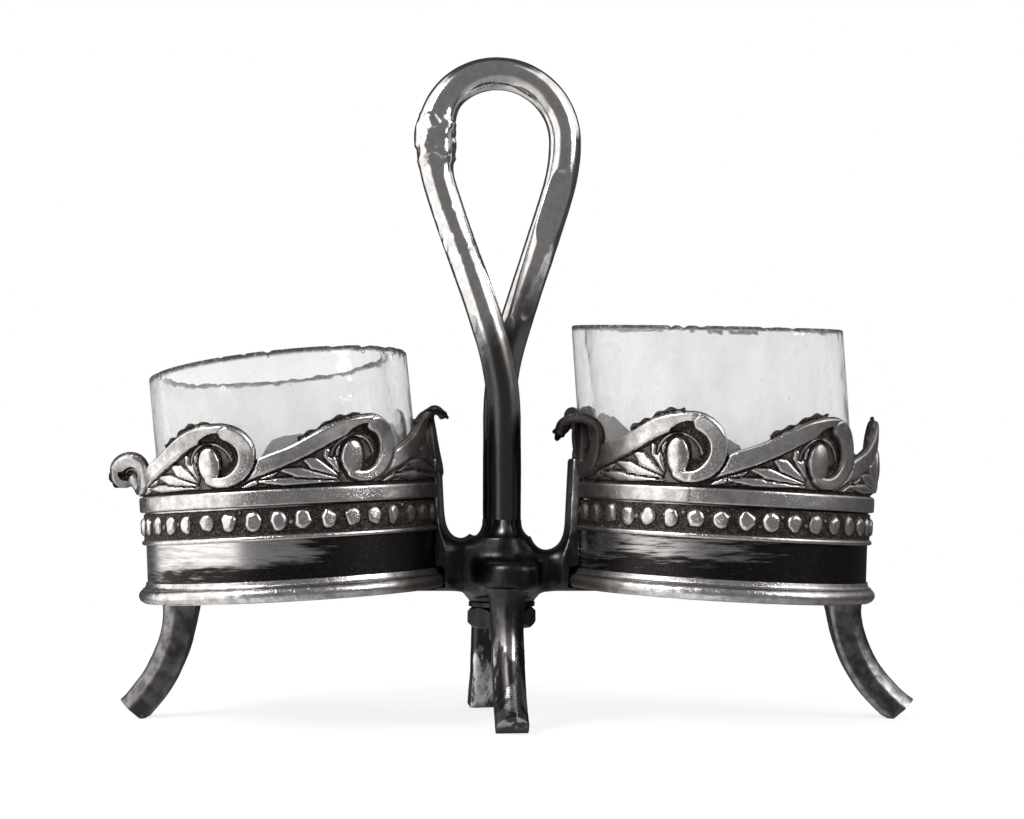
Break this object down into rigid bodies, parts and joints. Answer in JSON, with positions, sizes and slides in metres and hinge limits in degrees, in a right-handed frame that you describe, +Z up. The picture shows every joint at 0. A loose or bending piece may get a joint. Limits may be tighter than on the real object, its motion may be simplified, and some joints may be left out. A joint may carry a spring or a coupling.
{
  "type": "double cruet set",
  "caption": "Silver-plated double cruet stand with loop handle, beaded scroll-gallery holders, curved legs and loose clear glass liners.",
  "frame": {"origin": "on the table, at the centre of the stand's footprint, under the handle", "axes": "+Z up, +X from the left holder to the right holder, +Y towards the rear leg"},
  "size_m": [0.1352, 0.0537, 0.1128],
  "materials": {
    "silver_plate": "worn and tarnished silver plate, bright on high points and brown-black in recesses",
    "liner_glass": "clear blown glass with a ground and nicked rim"
  },
  "bodies": {
    "stand": {"left_drum_floor": "silver_plate", "left_drum_wall": "silver_plate", "left_base_ring": "silver_plate", "left_bead_band": "silver_plate", "left_scroll_gallery": "silver_plate", "right_drum_floor": "silver_plate", "right_drum_wall": "silver_plate", "right_base_ring": "silver_plate", "right_bead_band": "silver_plate", "right_scroll_gallery": "silver_plate", "bridge": "silver_plate", "handle_loop": "silver_plate", "handle_socket": "silver_plate", "handle_washer": "silver_plate", "handle_nut": "silver_plate", "left_leg": "silver_plate", "right_leg": "silver_plate", "front_leg": "silver_plate", "rear_leg": "silver_plate"},
    "left_liner": {"left_glass_liner": "liner_glass"},
    "right_liner": {"right_glass_liner": "liner_glass"}
  },
  "joints": [
    {"name": "left_liner_lift", "type": "slide", "parent": "stand", "child": "left_liner", "axis": [-0.0523, 0, 0.9986], "range_m": [0, 0.036]},
    {"name": "right_liner_lift", "type": "slide", "parent": "stand", "child": "right_liner", "axis": [0.0523, 0, 0.9986], "range_m": [0, 0.036]}
  ]
}
